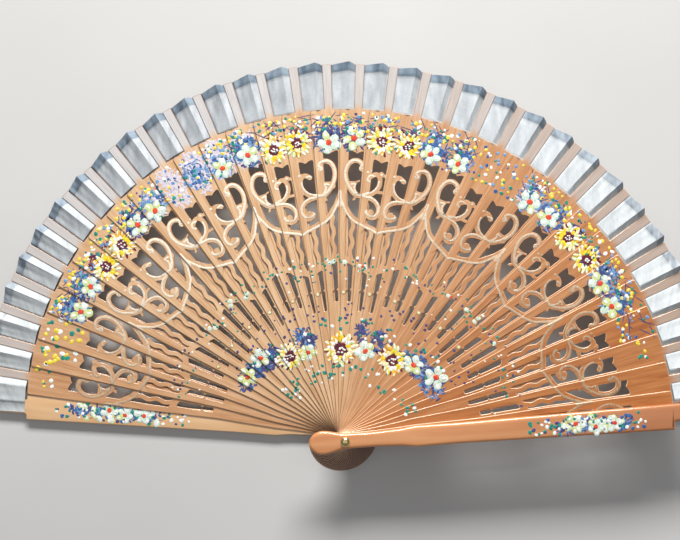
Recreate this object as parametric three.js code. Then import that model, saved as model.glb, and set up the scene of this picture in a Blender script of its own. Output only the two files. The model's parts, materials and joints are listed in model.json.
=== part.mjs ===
// A pierced-wood folding fan, lying open. Millimetres, +Z up.
// The rivet's axis is the Z axis, the middle of the open fan points along +Y, and the back guard's
// underside is the plane z = 0. Every blade is drawn along +Y and then turned about the rivet.
import * as THREE from 'three';

// ---- driving dimensions ----
const STICK_COUNT = 33;
const FIRST_GAP = 5.6; // degrees between the back guard and the first stick
const STICK_GAP = 5.14; // degrees between neighbouring sticks
const LAST_GAP = 1.33; // degrees between the last stick and the front guard

const FAN_RADIUS = 209; // rivet to the outer edge of the leaf
const SHOULDER_RADIUS = 182; // rivet to the end of the wide blades
const HEAD_REACH = 20; // how far the rounded heads stand out behind the rivet

const STICK_THICKNESS = 0.5;
const LAYER_PITCH = 0.75; // one stick and the clearance above it
const BACK_GUARD_THICKNESS = 2.8;
const FRONT_GUARD_THICKNESS = 2.6;
const GUARD_CLEARANCE = 0.25;
const GUARD_BEVEL = 0.5;

const LEAF_THICKNESS = 0.12;
const LEAF_START = SHOULDER_RADIUS + 1.2;
const LEAF_END = FAN_RADIUS - 1;
const LEAF_ON_BACK_GUARD = 0.9; // degrees that the leaf reaches past the guard's centre line
const LEAF_ON_FRONT_GUARD = 1.5;
const PLEAT_OFFSET = 1.75; // degrees from a rib's centre line to the fold on its left
const PLEAT_HEIGHT_INNER = 1.6;
const PLEAT_HEIGHT_OUTER = 3.2;
const RIB_HALF_ANGLE = 0.7; // degrees, the slim part of a stick that carries the leaf
const RIB_FOOT = SHOULDER_RADIUS + 0.6;
const RIB_MARGIN = 0.05; // degrees of flat leaf on each side of a rib

const RIVET_RADIUS = 1.5;
const RIVET_HOLE_RADIUS = 1.9;
const RIVET_HEAD_RADIUS = 2.45;
const RIVET_HEAD_RIM = 0.2; // the upright edge under the dome
const RIVET_HEAD_HEIGHT = 1.3;
const RIVET_TAIL_HEIGHT = 0.5;
const RIVET_TAIL_RADIUS = 2;
const WASHER_RADIUS = 2.9;
const WASHER_THICKNESS = 0.3;
const WASHER_GAP = 0.05;

const HOLE_SIDES = 10;
const ROUND_SIDES = 20;

// ---- places worked out from them ----
const OPEN_ANGLE = FIRST_GAP + (STICK_COUNT - 1) * STICK_GAP + LAST_GAP;
const BACK_GUARD_TURN = OPEN_ANGLE / 2;
const FRONT_GUARD_TURN = -OPEN_ANGLE / 2;
const FIRST_STICK_Z = BACK_GUARD_THICKNESS + GUARD_CLEARANCE;
const FRONT_GUARD_Z = stickZ(STICK_COUNT + 1);
const TOP_Z = FRONT_GUARD_Z + FRONT_GUARD_THICKNESS;

function stickZ(number) {
  return FIRST_STICK_Z + (number - 1) * LAYER_PITCH;
}

function stickTurn(number) {
  return BACK_GUARD_TURN - FIRST_GAP - (number - 1) * STICK_GAP;
}

const radians = THREE.MathUtils.degToRad;
const degrees = THREE.MathUtils.radToDeg;

function polar(angle, radius) {
  return new THREE.Vector2(-radius * Math.sin(radians(angle)), radius * Math.cos(radians(angle)));
}

// ---- materials ----
const wood = new THREE.MeshStandardMaterial({ color: 0xd8a673, roughness: 0.45, metalness: 0 });
const guardWood = new THREE.MeshStandardMaterial({ color: 0xc98a54, roughness: 0.35, metalness: 0 });
const cotton = new THREE.MeshStandardMaterial({ color: 0xdde3e8, roughness: 0.9, metalness: 0 });
const brass = new THREE.MeshStandardMaterial({ color: 0xc9a24a, roughness: 0.3, metalness: 1 });

// ---- outlines ----
// A profile lists [distance along the blade, half width]. It is read with straight lines between.
const HEAD_PROFILE = [[-HEAD_REACH, 0], [-18.6, 3.6], [-15.8, 5.8], [-12, 6.5], [-7.6, 5.9], [-2.5, 4.5]];
const STICK_PROFILE = [
  ...HEAD_PROFILE, [4, 4.1], [17, 4.2], [31, 4.7], [39, 5.2], [73, 5.4], [112, 7.6],
  [SHOULDER_RADIUS - 1.2, 10.1], [SHOULDER_RADIUS, 9.2],
];
const GUARD_PROFILE = [
  ...HEAD_PROFILE, [4, 4.1], [17, 4.1], [31, 4.8], [39, 5.9], [63, 5.75], [SHOULDER_RADIUS - 1.5, 7.3],
];

function halfWidth(profile, distance) {
  const next = profile.findIndex(([place]) => place > distance);
  const [[fromPlace, fromWidth], [toPlace, toWidth]] = [profile[next - 1], profile[next]];
  return fromWidth + ((toWidth - fromWidth) * (distance - fromPlace)) / (toPlace - fromPlace);
}

function rivetHole(radius) {
  const circle = new THREE.Path().absarc(0, 0, radius, 0, 2 * Math.PI, true);
  return new THREE.Path(circle.getPoints(HOLE_SIDES / 2).slice(1));
}

function blade(rightSide, leftSide, holes) {
  const outline = [...rightSide, ...leftSide.reverse()];
  const shape = new THREE.Shape(outline.map(([across, along]) => new THREE.Vector2(across, along)));
  shape.holes.push(...holes);
  return shape;
}

// ---- the pierced pattern ----
// Four stick types follow each other round the fan: A, B and their mirror images C, D. The pattern
// is drawn over a half repeat, two sticks wide, as heights above the rivet against the angle from
// the line where D meets A. An angle on a stick is counted clockwise from its left edge.
const STICK_TYPES = ['A', 'B', 'C', 'D'];
const HALF_REPEAT = 2 * STICK_GAP;
const STILE = 1.85; // degrees of solid wood along the left edge
const WINDOW_END = 4.8;
const STROKE = 1.2; // half the height of a wooden scroll line
const BAR = { start: 2.8, end: 3.9 }; // degrees, the upright bar in the lower window
const SLOT = { start: 2.5, end: 4.2, top: 93.9 };
const BAND_TOP = 102.9; // the cross band lies between the slots and the lower window

const ARC_LOW = 115.7; // the long arc at the B-C line
const ARC_SLOPE = 3.2; // how much it rises to the D-A line
const ARC_PEAK = 15.5; // and how far it shoots up there
const ARC_PEAK_WIDTH = 0.95; // degrees

// Heights above the rivet: the scroll line, the curl over it, the top of the window, the slot's foot.
const TALL_WINDOW = { scroll: 136.4, curl: 154, top: 159.5, slotFoot: 75.4 };
const SHORT_WINDOW = { scroll: 133.9, curl: 147.4, top: 155.2, slotFoot: 70.4 };
const CURL_DROP = 0.5; // for each degree away from the curl's middle
const SCALLOP_DEPTH = 0.7;

function patternAngle(type, angle) {
  const along = STICK_TYPES.indexOf(type) * STICK_GAP + angle;
  return along <= HALF_REPEAT ? along : 2 * HALF_REPEAT - along;
}

// The long arc falls from the D-A line to the B-C line.
function arcRadius(across) {
  const slope = ARC_SLOPE * (1 - across / HALF_REPEAT);
  return ARC_LOW + slope + ARC_PEAK * Math.exp(-across / ARC_PEAK_WIDTH);
}

function windowSizes(type) {
  return type === 'A' || type === 'D' ? TALL_WINDOW : SHORT_WINDOW;
}

function panel(type, start, end, low, high, steps) {
  const onStick = (angle, radius) => {
    const leftEdge = degrees(Math.asin(halfWidth(STICK_PROFILE, radius) / radius));
    return polar(leftEdge - angle, radius);
  };
  const points = [];
  for (let i = 0; i <= steps; i += 1) {
    const angle = start + ((end - start) * i) / steps;
    points.push(onStick(angle, low(patternAngle(type, angle))));
  }
  for (let i = steps; i >= 0; i -= 1) {
    const angle = start + ((end - start) * i) / steps;
    points.push(onStick(angle, high(patternAngle(type, angle))));
  }
  return new THREE.Path(points);
}

function barPanels(type) {
  const low = () => BAND_TOP;
  const high = (across) => arcRadius(across) - STROKE;
  return [
    panel(type, STILE, BAR.start, low, high, 1),
    panel(type, BAR.end, WINDOW_END, low, high, 1),
  ];
}

function scrollPanels(type) {
  const { scroll, curl, top } = windowSizes(type);
  const aboveArc = (across) => arcRadius(across) + STROKE;
  const belowScroll = () => scroll - STROKE;
  const aboveScroll = () => scroll + STROKE;
  const belowCurl = (across) => curl - STROKE - CURL_DROP * Math.abs(across - STICK_GAP / 2);
  const aboveCurl = () => curl + STROKE;
  const wave = (across) => Math.abs(Math.sin((3 * Math.PI * across) / STICK_GAP));
  const scallop = (across) => top - SCALLOP_DEPTH * wave(across);
  return [
    panel(type, STILE, WINDOW_END, aboveArc, belowScroll, 2),
    panel(type, STILE, WINDOW_END, aboveScroll, belowCurl, 2),
    panel(type, STILE, WINDOW_END, aboveCurl, scallop, 3),
  ];
}

function slot(type) {
  return panel(type, SLOT.start, SLOT.end, () => windowSizes(type).slotFoot, () => SLOT.top, 1);
}

// ---- sticks ----
function stickShape(type) {
  const ribWidth = (radius) => radius * Math.tan(radians(RIB_HALF_ANGLE));
  const side = (sign) => [
    ...STICK_PROFILE.map(([along, half]) => [sign * half, along]),
    [sign * ribWidth(RIB_FOOT), RIB_FOOT],
    [sign * ribWidth(FAN_RADIUS), FAN_RADIUS],
  ];
  const left = side(-1).slice(1); // the head's end point is shared
  return blade(side(1), left, [
    rivetHole(RIVET_HOLE_RADIUS),
    slot(type),
    ...barPanels(type),
    ...scrollPanels(type),
  ]);
}

function stick(number) {
  const type = STICK_TYPES[(number - 1) % STICK_TYPES.length];
  const geometry = new THREE.ExtrudeGeometry(stickShape(type), {
    depth: STICK_THICKNESS,
    bevelEnabled: false,
    steps: 1,
  });
  return place(geometry, wood, `stick_${String(number).padStart(2, '0')}`, stickTurn(number), stickZ(number));
}

// ---- guards ----
// Both guards narrow at the shoulder to a slim tip under or over the leaf. The front one narrows on
// its right side only. Outlines are drawn inside the bevel that the extrusion adds.
const TIP_WIDTH = 3.6; // half width of a tip that is slim on both sides
const FRONT_TIP_WIDTH = 2;
const TIP_STEP = 0.9;
const TIP_START = SHOULDER_RADIUS + 2.5;
const TIP_END = FAN_RADIUS - GUARD_BEVEL;
const TIP_CORNER = { across: 1.4, along: 2, lean: 0.2 };

function guardSide() {
  return GUARD_PROFILE.map(([along, half]) => [half > 0 ? half - GUARD_BEVEL : 0, along]);
}

function tipCorner(width) {
  const { across, along, lean } = TIP_CORNER;
  return [[width - lean, TIP_END - along], [width - lean - across, TIP_END]];
}

function slimTip(shoulder, width) {
  return [[shoulder - TIP_STEP, SHOULDER_RADIUS], [width, TIP_START], ...tipCorner(width)];
}

function mirrored(points) {
  return points.map(([across, along]) => [-across, along]);
}

function guardBlade(rightTip, leftTip) {
  const side = guardSide();
  const left = [...side.slice(1), ...leftTip]; // the head's end point is shared
  return blade([...side, ...rightTip], mirrored(left), [rivetHole(RIVET_HOLE_RADIUS + GUARD_BEVEL)]);
}

function frontGuardShape() {
  const shoulder = guardSide().at(-1)[0];
  return guardBlade(slimTip(shoulder, FRONT_TIP_WIDTH), tipCorner(shoulder));
}

function backGuardShape() {
  const shoulder = guardSide().at(-1)[0];
  return guardBlade(slimTip(shoulder, TIP_WIDTH), slimTip(shoulder, TIP_WIDTH));
}

function guard(shape, thickness, name, turn, z) {
  const geometry = new THREE.ExtrudeGeometry(shape, {
    depth: thickness - 2 * GUARD_BEVEL,
    bevelEnabled: true,
    bevelThickness: GUARD_BEVEL,
    bevelSize: GUARD_BEVEL,
    bevelSegments: 2,
    steps: 1,
  });
  return place(geometry, guardWood, name, turn, z + GUARD_BEVEL);
}

// ---- leaf ----
// One pleated sheet: it runs behind every rib and stands up in a fold to the left of each.
function leafColumns() {
  const level = (number) => stickZ(number) - GUARD_CLEARANCE / 2;
  const columns = [
    { turn: BACK_GUARD_TURN + LEAF_ON_BACK_GUARD, z: level(1), fold: 0 },
    { turn: BACK_GUARD_TURN - RIB_HALF_ANGLE, z: level(1), fold: 0 },
  ];
  for (let number = 1; number <= STICK_COUNT; number += 1) {
    const turn = stickTurn(number);
    const z = level(number);
    columns.push({ turn: turn + PLEAT_OFFSET, z, fold: 1 });
    columns.push({ turn: turn + RIB_HALF_ANGLE + RIB_MARGIN, z, fold: 0 });
    columns.push({ turn: turn - RIB_HALF_ANGLE - RIB_MARGIN, z, fold: 0 });
  }
  columns.push({ turn: FRONT_GUARD_TURN - LEAF_ON_FRONT_GUARD, z: level(STICK_COUNT + 1), fold: 0 });
  return columns;
}

function leafGeometry() {
  const rings = [
    { radius: LEAF_START, height: PLEAT_HEIGHT_INNER },
    { radius: LEAF_END, height: PLEAT_HEIGHT_OUTER },
  ];
  const columns = leafColumns();
  const vertices = [];
  for (const side of [-1, 1]) {
    for (const { turn, z, fold } of columns) {
      for (const { radius, height } of rings) {
        const spot = polar(turn, radius);
        vertices.push(spot.x, spot.y, z + fold * height + (side * LEAF_THICKNESS) / 2);
      }
    }
  }
  const vertex = (side, column, ring) => (side * columns.length + column) * rings.length + ring;
  const faces = [];
  const quad = (a, b, c, d) => faces.push(a, b, c, a, c, d);
  for (let i = 0; i + 1 < columns.length; i += 1) {
    quad(vertex(1, i, 0), vertex(1, i + 1, 0), vertex(1, i + 1, 1), vertex(1, i, 1));
    quad(vertex(0, i, 0), vertex(0, i, 1), vertex(0, i + 1, 1), vertex(0, i + 1, 0));
    quad(vertex(0, i, 0), vertex(0, i + 1, 0), vertex(1, i + 1, 0), vertex(1, i, 0));
    quad(vertex(0, i, 1), vertex(1, i, 1), vertex(1, i + 1, 1), vertex(0, i + 1, 1));
  }
  const last = columns.length - 1;
  quad(vertex(0, 0, 0), vertex(1, 0, 0), vertex(1, 0, 1), vertex(0, 0, 1));
  quad(vertex(0, last, 0), vertex(0, last, 1), vertex(1, last, 1), vertex(1, last, 0));
  const geometry = new THREE.BufferGeometry();
  geometry.setAttribute('position', new THREE.Float32BufferAttribute(vertices, 3));
  geometry.setIndex(faces);
  geometry.computeVertexNormals();
  return geometry;
}

// ---- rivet ----
function turned(profile) {
  const geometry = new THREE.LatheGeometry(
    profile.map(([radius, height]) => new THREE.Vector2(radius, height)),
    ROUND_SIDES,
  );
  return geometry.rotateX(Math.PI / 2); // the lathe turns about Y
}

function rivetGeometry() {
  const headFoot = TOP_Z + WASHER_THICKNESS + 2 * WASHER_GAP;
  const rim = headFoot + RIVET_HEAD_RIM;
  const domeHeight = RIVET_HEAD_HEIGHT - RIVET_HEAD_RIM;
  const dome = [0, 0.35, 0.7].map((share) => {
    const turn = (share * Math.PI) / 2;
    return [RIVET_HEAD_RADIUS * Math.cos(turn), rim + domeHeight * Math.sin(turn)];
  });
  const tail = -(WASHER_THICKNESS + 2 * WASHER_GAP);
  return turned([
    [0, tail - RIVET_TAIL_HEIGHT],
    [RIVET_TAIL_RADIUS, tail - RIVET_TAIL_HEIGHT],
    [RIVET_HEAD_RADIUS, tail],
    [RIVET_RADIUS, tail],
    [RIVET_RADIUS, headFoot],
    [RIVET_HEAD_RADIUS, headFoot],
    ...dome,
    [0, headFoot + RIVET_HEAD_HEIGHT],
  ]);
}

function washerGeometry(z) {
  return turned([
    [RIVET_HOLE_RADIUS, z],
    [WASHER_RADIUS, z],
    [WASHER_RADIUS, z + WASHER_THICKNESS],
    [RIVET_HOLE_RADIUS, z + WASHER_THICKNESS],
    [RIVET_HOLE_RADIUS, z],
  ]);
}

// ---- assembly ----
function place(geometry, material, name, turn = 0, z = 0) {
  const mesh = new THREE.Mesh(geometry, material);
  mesh.name = name;
  mesh.rotation.z = radians(turn);
  mesh.position.z = z;
  return mesh;
}

const fan = new THREE.Group();
fan.add(guard(backGuardShape(), BACK_GUARD_THICKNESS, 'back_guard', BACK_GUARD_TURN, 0));
for (let number = 1; number <= STICK_COUNT; number += 1) {
  fan.add(stick(number));
}
fan.add(guard(frontGuardShape(), FRONT_GUARD_THICKNESS, 'front_guard', FRONT_GUARD_TURN, FRONT_GUARD_Z));
fan.add(place(leafGeometry(), cotton, 'leaf'));
fan.add(place(rivetGeometry(), brass, 'rivet'));
fan.add(place(washerGeometry(TOP_Z + WASHER_GAP), brass, 'front_washer'));
fan.add(place(washerGeometry(-WASHER_GAP - WASHER_THICKNESS), brass, 'back_washer'));

export default fan;
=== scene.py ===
import json
import math
import random

import bpy
import numpy as np
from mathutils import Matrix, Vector
from mathutils.geometry import tessellate_polygon


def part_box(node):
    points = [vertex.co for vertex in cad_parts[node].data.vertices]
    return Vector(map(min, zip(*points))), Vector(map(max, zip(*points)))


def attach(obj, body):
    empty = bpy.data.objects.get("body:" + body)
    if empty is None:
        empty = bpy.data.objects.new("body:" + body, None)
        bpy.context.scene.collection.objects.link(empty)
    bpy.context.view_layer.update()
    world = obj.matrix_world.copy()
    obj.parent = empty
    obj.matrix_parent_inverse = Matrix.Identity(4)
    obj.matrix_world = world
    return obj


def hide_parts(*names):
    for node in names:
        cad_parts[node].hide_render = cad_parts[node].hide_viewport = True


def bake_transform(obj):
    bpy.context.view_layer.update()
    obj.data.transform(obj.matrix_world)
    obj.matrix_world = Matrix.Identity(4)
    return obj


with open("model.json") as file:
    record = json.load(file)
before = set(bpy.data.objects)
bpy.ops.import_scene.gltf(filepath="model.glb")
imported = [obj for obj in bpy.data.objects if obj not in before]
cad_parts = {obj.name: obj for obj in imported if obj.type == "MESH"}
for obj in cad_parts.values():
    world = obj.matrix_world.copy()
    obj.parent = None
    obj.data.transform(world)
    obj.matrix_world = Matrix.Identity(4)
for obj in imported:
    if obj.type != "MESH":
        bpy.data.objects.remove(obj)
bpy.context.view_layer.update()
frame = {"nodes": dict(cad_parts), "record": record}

# Lengths are in millimetres and angles in degrees, except where a comment says metres or radians.
MM = 0.001

# ---- sizes read from the frame ----
record = frame["record"]
STICKS = sorted(node for node in frame["nodes"] if node.startswith("stick_"))
STICK_COUNT = len(STICKS)
SPAN = {joint["child"]: joint["range_deg"][1] for joint in record["behaviour"]["joints"]}
FIRST_GAP = SPAN["stick_01"]
STICK_GAP = SPAN["stick_02"]
LAST_GAP = SPAN["front_guard"]
OPEN_ANGLE = FIRST_GAP + (STICK_COUNT - 1) * STICK_GAP + LAST_GAP


def height(node, end):
    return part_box(node)[end][2] / MM


STICK_THICKNESS = height("stick_01", 1) - height("stick_01", 0)
UPRIGHT_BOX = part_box(STICKS[STICK_COUNT // 2])  # of the middle stick, which points almost straight up
FAN_RADIUS = round(UPRIGHT_BOX[1][1] / MM)  # from the rivet to the ribs' ends
HEAD_REACH = round(-UPRIGHT_BOX[0][1] / MM)  # how far the heads stand out below the rivet
SHOULDER_RADIUS = 182.0  # from the rivet to the end of the wide blades
HOLE_RADIUS = 1.9

# ---- camera, lights and floor ----
CAMERA_PLACE = (-12.8, 125.6, 546.7)
CAMERA_LEAN = (-3.47, -1.05, 0.23)  # degrees away from looking straight down
LENS = 50.6


def make_camera():
    camera = bpy.data.objects.new("camera", bpy.data.cameras.new("camera"))
    bpy.context.collection.objects.link(camera)
    camera.location = Vector(CAMERA_PLACE) * MM
    camera.rotation_euler = [math.radians(lean) for lean in CAMERA_LEAN]
    camera.data.lens = LENS
    camera.data.sensor_width = 36.0
    camera.data.clip_start = 10 * MM
    bpy.context.scene.camera = camera


def area_light(name, place, target, size, power, tint):
    """A rectangular light, with its places and size in metres."""
    data = bpy.data.lights.new(name, "AREA")
    data.shape = "RECTANGLE"
    data.size, data.size_y = size
    data.energy = power
    data.color = tint
    lamp = bpy.data.objects.new(name, data)
    bpy.context.collection.objects.link(lamp)
    lamp.location = place
    lamp.rotation_euler = (Vector(target) - Vector(place)).to_track_quat("-Z", "Y").to_euler()


FAN_MIDDLE = (0, 0.08, 0)  # in metres
SKY_COLOUR = (0.93, 0.95, 1.0, 1.0)
SKY_STRENGTH = 0.2


def make_lights():
    """A window beyond the fan's top edge, soft light from the ceiling and a dim sky."""
    area_light("window", (0.05, 1.35, 0.72), FAN_MIDDLE, (0.9, 0.3), 40.0, (1.0, 0.99, 0.97))
    area_light("room", (0.0, 0.1, 1.4), FAN_MIDDLE, (1.6, 1.2), 3.2, (1.0, 0.98, 0.95))
    world = bpy.data.worlds.new("studio")
    bpy.context.scene.world = world
    world.use_nodes = True
    background = world.node_tree.nodes["Background"]
    background.inputs["Color"].default_value = SKY_COLOUR
    background.inputs["Strength"].default_value = SKY_STRENGTH
    bpy.context.scene.view_settings.view_transform = "Standard"


# ---- materials ----
def shader_of(material):
    return material.node_tree.nodes["Principled BSDF"]


def new_material(name, roughness, metallic=0.0, coat=0.0, coat_roughness=0.1, specular=0.5, sheen=0.0):
    material = bpy.data.materials.new(name)
    material.use_nodes = True
    settings = {
        "Roughness": roughness, "Metallic": metallic, "Coat Weight": coat, "Sheen Weight": sheen,
        "Coat Roughness": coat_roughness, "Specular IOR Level": specular,
    }
    for key, value in settings.items():
        feed(shader_of(material).inputs[key], value)
    return material


def feed(socket, value):
    """Gives a socket a link, a number, a vector or a colour."""
    if isinstance(value, bpy.types.NodeSocket):
        socket.id_data.links.new(value, socket)
    elif socket.type == "RGBA":
        socket.default_value = (*value, 1.0)
    else:
        socket.default_value = value


def add(tree, kind, inputs=None, **settings):
    """A node with these settings, and with its inputs fed by name or by number."""
    node = tree.nodes.new(kind)
    for key, value in settings.items():
        setattr(node, key, value)
    for key, value in (inputs or {}).items():
        feed(node.inputs[key], value)
    return node


def noise(vector, scale, detail=3.0, stretch=(1, 1, 1), distortion=0.0):
    mapping = add(vector.id_data, "ShaderNodeMapping", {"Scale": stretch, "Vector": vector})
    place = mapping.outputs["Vector"]
    inputs = {"Scale": scale, "Detail": detail, "Distortion": distortion, "Vector": place}
    return add(vector.id_data, "ShaderNodeTexNoise", inputs).outputs["Fac"]


def ramp(value, stops):
    node = add(value.id_data, "ShaderNodeValToRGB", {"Fac": value})
    elements = node.color_ramp.elements
    while len(elements) < len(stops):
        elements.new(0.5)
    for element, (place, colour) in zip(elements, stops):
        element.position = place
        element.color = (*colour, 1.0)
    return node.outputs["Color"]


def mix(factor, first, second, blend="MIX"):
    """The second colour over the first. The factor or the first colour is a socket."""
    socket = factor if isinstance(factor, bpy.types.NodeSocket) else first
    inputs = {0: factor, 6: first, 7: second}
    return add(socket.id_data, "ShaderNodeMix", inputs, data_type="RGBA", blend_type=blend).outputs[2]


def map_range(value, low, high, to_low=0.0, to_high=1.0):
    inputs = {"Value": value, "From Min": low, "From Max": high, "To Min": to_low, "To Max": to_high}
    node = add(value.id_data, "ShaderNodeMapRange", inputs, interpolation_type="SMOOTHSTEP")
    return node.outputs["Result"]


def maths(operation, *values):
    """The result of an operation on these values, the first of which is a socket."""
    return add(values[0].id_data, "ShaderNodeMath", dict(enumerate(values)), operation=operation).outputs[0]


def finish(material, colour, relief=None, strength=0.0, depth=0.0):
    """The material with this colour and a relief of this depth in metres."""
    shader = shader_of(material)
    feed(shader.inputs["Base Color"], colour)
    if relief is not None:
        inputs = {"Strength": strength, "Distance": depth, "Height": relief}
        feed(shader.inputs["Normal"], add(shader.id_data, "ShaderNodeBump", inputs).outputs["Normal"])
    return material


def srgb(red, green, blue):
    """A colour given in 0 to 255 display values, as the linear values that shaders take."""
    return tuple((value / 255) ** 2.2 for value in (red, green, blue))


WHITE = (1, 1, 1)


def shades(value, low, dark, high, light):
    """One display colour up to low, another from high, and what lies between."""
    return ramp(value, [(low, srgb(*dark)), (high, srgb(*light))])


def speckles(value, low, dark, high):
    """A display colour up to low and plain white from high, to multiply by."""
    return ramp(value, [(low, srgb(*dark)), (high, WHITE)])


def grain_vector(material):
    """Each point's place in its material as across, along and through, in millimetres."""
    return add(material.node_tree, "ShaderNodeAttribute", attribute_name="grain").outputs["Vector"]


def grain_axis(material, axis):
    tree = material.node_tree
    return add(tree, "ShaderNodeSeparateXYZ", {"Vector": grain_vector(material)}).outputs[axis]


def tone_value(material):
    """Where a piece stands between a material's two tones, from 0 to 1."""
    return add(material.node_tree, "ShaderNodeAttribute", attribute_name="tone").outputs["Fac"]


ALONG_FIBRES = (1.0, 0.035, 1.0)


def wood_colour(figure, pores, pale, mid, dark):
    colour = ramp(figure, [(0.3, srgb(*dark)), (0.5, srgb(*mid)), (0.72, srgb(*pale))])
    return mix(0.4, colour, speckles(pores, 0.36, (200, 170, 145), 0.52), "MULTIPLY")


BLEACH = (SHOULDER_RADIUS - 1.5, SHOULDER_RADIUS + 5)
# painted shade over the stacked heads below the front guard, full from 5 mm below the rivet and gone by 3 mm
# above it
HEAD_SHADE_RANGE = (3, -5)


def stick_wood():
    """Varnished on the blade, with painted shade round the head where the front guard shades it, and raw and
    pale along the rib.
    """
    material = new_material("stick_wood", 0.42, coat=0.35, coat_roughness=0.22)
    grain, along, tone = grain_vector(material), grain_axis(material, "Y"), tone_value(material)
    figure = noise(grain, 0.35, 4.0, (1.0, 0.07, 1.0), 0.6)
    pores = noise(grain, 2.2, 5.0, ALONG_FIBRES)
    pale = wood_colour(figure, pores, (228, 192, 154), (219, 179, 137), (206, 161, 117))
    tan = wood_colour(figure, pores, (192, 124, 68), (180, 110, 55), (163, 92, 41))
    blade = mix(tone, pale, tan)
    # painted shade: the heads darkened to a deep brown
    head_shade = mix(0.85, blade, srgb(74, 48, 42))
    blade = mix(map_range(along, *HEAD_SHADE_RANGE), blade, head_shade)
    rib = mix(tone, srgb(202, 199, 198), srgb(182, 156, 138))
    rib = mix(0.6, rib, speckles(pores, 0.3, (222, 214, 208), 0.6), "MULTIPLY")
    return finish(material, mix(map_range(along, *BLEACH), blade, rib), pores, 0.25, 0.00006)


def edge_wood():
    """Sawn edges with painted light: painted shade on the left of the fan, browner than the varnished faces,
    and a painted highlight on its right, paler.
    """
    material = new_material("edge_wood", 0.5, coat=0.2)
    fibres = noise(grain_vector(material), 2.0, 3.0, (1.0, 0.05, 1.0))
    # painted shade: the brown edges of the left-hand sticks
    painted_shade_edge = shades(fibres, 0.3, (116, 76, 50), 0.6, (152, 106, 74))
    # painted highlight: the pale edges of the right-hand sticks
    pale = shades(fibres, 0.3, (214, 164, 120), 0.6, (238, 198, 158))
    return finish(material, mix(tone_value(material), painted_shade_edge, pale))


DEEPENING = (60, 190)


def guard_wood():
    """The back guard, pale as the sticks beside it, and the more deeply varnished front guard."""
    material = new_material("guard_wood", 0.3, coat=1.0, coat_roughness=0.1)
    grain = grain_vector(material)
    cloud = noise(grain, 0.22, 3.0, (1.0, 0.08, 1.0), 0.4)
    pale = shades(cloud, 0.3, (212, 164, 114), 0.7, (226, 184, 138))
    deep = shades(cloud, 0.3, (198, 128, 78), 0.7, (214, 150, 98))
    outward = map_range(grain_axis(material, "Y"), *DEEPENING)
    deep = mix(outward, deep, mix(0.5, deep, srgb(150, 82, 46)))
    colour = mix(tone_value(material), pale, deep)
    return finish(material, colour, noise(grain, 2.2, 4.0, ALONG_FIBRES), 0.15, 0.00005)


THREAD_PITCH = 0.45


def thread_wave(material, axis):
    turns = maths("MULTIPLY", grain_axis(material, axis), 2 * math.pi / THREAD_PITCH)
    return maths("SINE", turns)


def leaf_cotton():
    """A fine cotton weave, doubled and greyer along the hem, with painted shade making it greyer left of the
    middle and painted light making it whiter towards both ends of the leaf.
    """
    material = new_material("leaf_cotton", 0.9, specular=0.2, sheen=0.25)
    grain, tone = grain_vector(material), tone_value(material)
    cloud = noise(grain, 0.2, 4.0, (1.0, 0.35, 1.0))
    # the cool colours are painted shade and the white ones painted light
    cool = shades(cloud, 0.3, (168, 174, 180), 0.66, (205, 210, 214))
    white = shades(cloud, 0.3, (192, 197, 199), 0.66, (214, 220, 222))
    cool_hem = shades(cloud, 0.34, (98, 114, 130), 0.62, (150, 166, 180))
    white_hem = shades(cloud, 0.34, (140, 148, 158), 0.62, (206, 210, 212))
    hem = map_range(grain_axis(material, "Y"), HEM_START - 0.5, HEM_START + 0.3)
    # painted light: the cloth and its hem go from the shaded greyer colours to the lit whiter ones with the
    # tone
    hem_painted_light = map_range(tone, 0.3, 1.0)
    colour = mix(hem, mix(tone, cool, white), mix(hem_painted_light, cool_hem, white_hem))
    slubs = noise(grain, 1.4, 2.0, (0.25, 1.0, 1.0))
    colour = mix(0.5, colour, speckles(slubs, 0.35, (236, 238, 240), 0.6), "MULTIPLY")
    weave = maths("MULTIPLY", thread_wave(material, "X"), thread_wave(material, "Y"))
    return finish(material, colour, weave, 0.35, 0.00005)


PAINTS = {
    "white": ((250, 251, 247), (228, 232, 226)),
    "cream": ((250, 244, 206), (232, 214, 140)),
    "petal_mint": ((226, 238, 224), (184, 210, 190)),
    "petal_green": ((222, 228, 170), (190, 206, 120)),
    "yellow": ((248, 226, 50), (226, 190, 30)),
    "gold": ((246, 196, 60), (224, 160, 30)),
    "maroon": ((112, 20, 48), (74, 10, 34)),
    "red": ((236, 84, 52), (206, 56, 34)),
    "teal": ((26, 156, 132), (12, 110, 100)),
    "blue": ((66, 112, 172), (44, 78, 132)),
    "sky": ((126, 166, 208), (92, 132, 180)),
    "violet": ((84, 84, 132), (56, 54, 98)),
    "lilac": ((222, 212, 220), (200, 192, 208)),
    "putty": ((186, 162, 130), (158, 134, 104)),
}


def paint(name, light, dark):
    """Thick, slightly glossy paint with brush strokes in it."""
    material = new_material("paint_" + name, 0.32, coat=0.3)
    strokes = noise(grain_vector(material), 1.3, 3.0, (1.0, 0.55, 1.0), 0.8)
    return finish(material, shades(strokes, 0.38, dark, 0.6, light), strokes, 0.4, 0.00008)


def trim_paint():
    """The cream of the lines along the scrolls, tan towards both ends of the fan."""
    material = new_material("paint_trim", 0.4, coat=0.2)
    wear = noise(grain_vector(material), 0.9, 4.0)
    cream = shades(wear, 0.3, (222, 200, 172), 0.58, (244, 232, 212))
    tan = shades(wear, 0.3, (146, 116, 86), 0.6, (180, 150, 118))
    return finish(material, mix(tone_value(material), cream, tan), wear, 0.3, 0.00006)


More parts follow.
